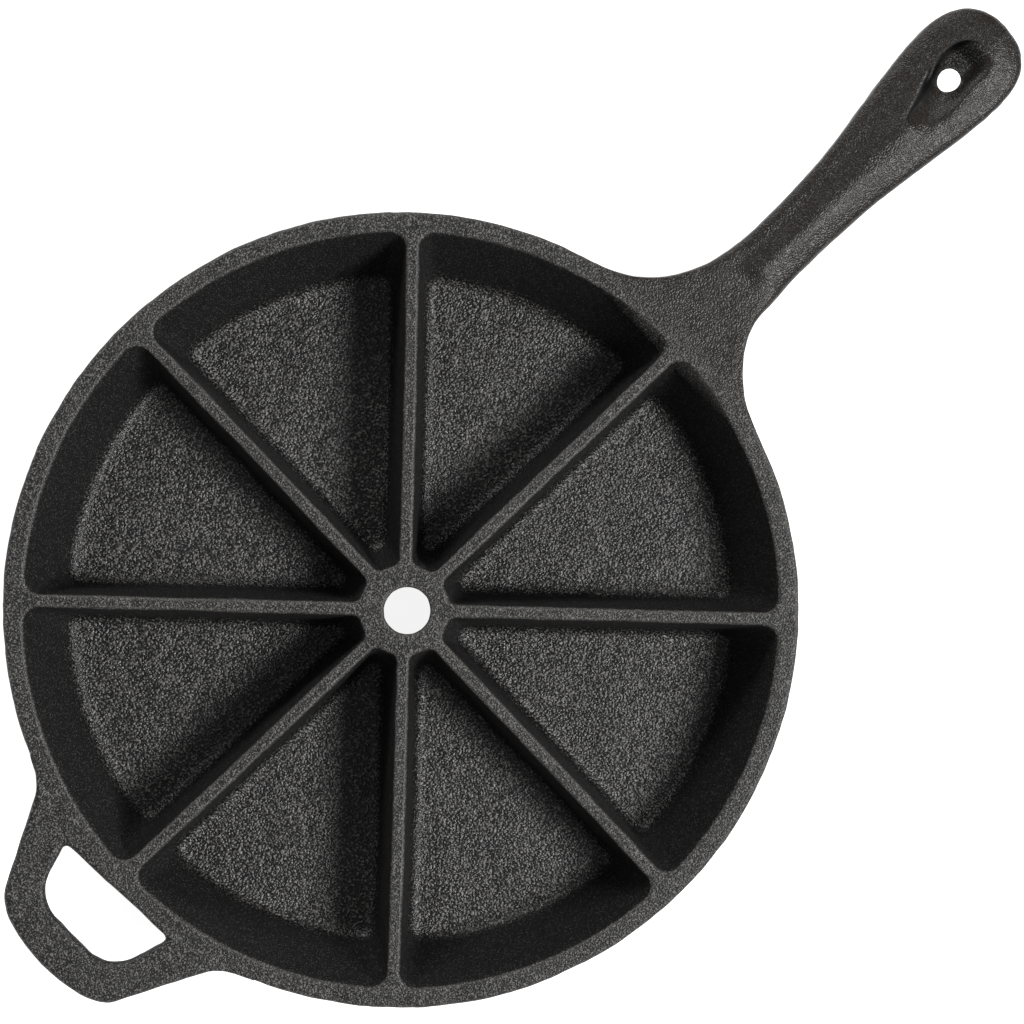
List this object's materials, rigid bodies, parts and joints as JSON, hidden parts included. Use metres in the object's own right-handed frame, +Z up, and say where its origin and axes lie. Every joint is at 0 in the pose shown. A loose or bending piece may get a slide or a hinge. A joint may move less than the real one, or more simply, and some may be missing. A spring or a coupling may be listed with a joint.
{
  "type": "cast iron wedge pan",
  "caption": "Round cast iron baking pan divided into wedge pockets around a hollow hub, with a long handle that hangs on a hole and a looped helper handle opposite.",
  "frame": {"origin": "on the surface that the pan stands on, under the middle of its overall length and width", "axes": "+X along the long handle, away from the pan; +Z up, out of the pockets; +Y to the left of the handle's direction"},
  "size_m": [0.3886, 0.2286, 0.0405],
  "materials": {
    "seasoned_cast_iron": "sand-cast, oil-seasoned, black, satin"
  },
  "bodies": {
    "root": {"pan_wall": "seasoned_cast_iron", "centre_hub": "seasoned_cast_iron", "divider_1": "seasoned_cast_iron", "divider_2": "seasoned_cast_iron", "divider_3": "seasoned_cast_iron", "divider_4": "seasoned_cast_iron", "divider_5": "seasoned_cast_iron", "divider_6": "seasoned_cast_iron", "divider_7": "seasoned_cast_iron", "divider_8": "seasoned_cast_iron", "wedge_floor_1": "seasoned_cast_iron", "wedge_floor_2": "seasoned_cast_iron", "wedge_floor_3": "seasoned_cast_iron", "wedge_floor_4": "seasoned_cast_iron", "wedge_floor_5": "seasoned_cast_iron", "wedge_floor_6": "seasoned_cast_iron", "wedge_floor_7": "seasoned_cast_iron", "wedge_floor_8": "seasoned_cast_iron", "handle_neck": "seasoned_cast_iron", "handle_grip": "seasoned_cast_iron", "helper_handle": "seasoned_cast_iron"}
  },
  "joints": []
}
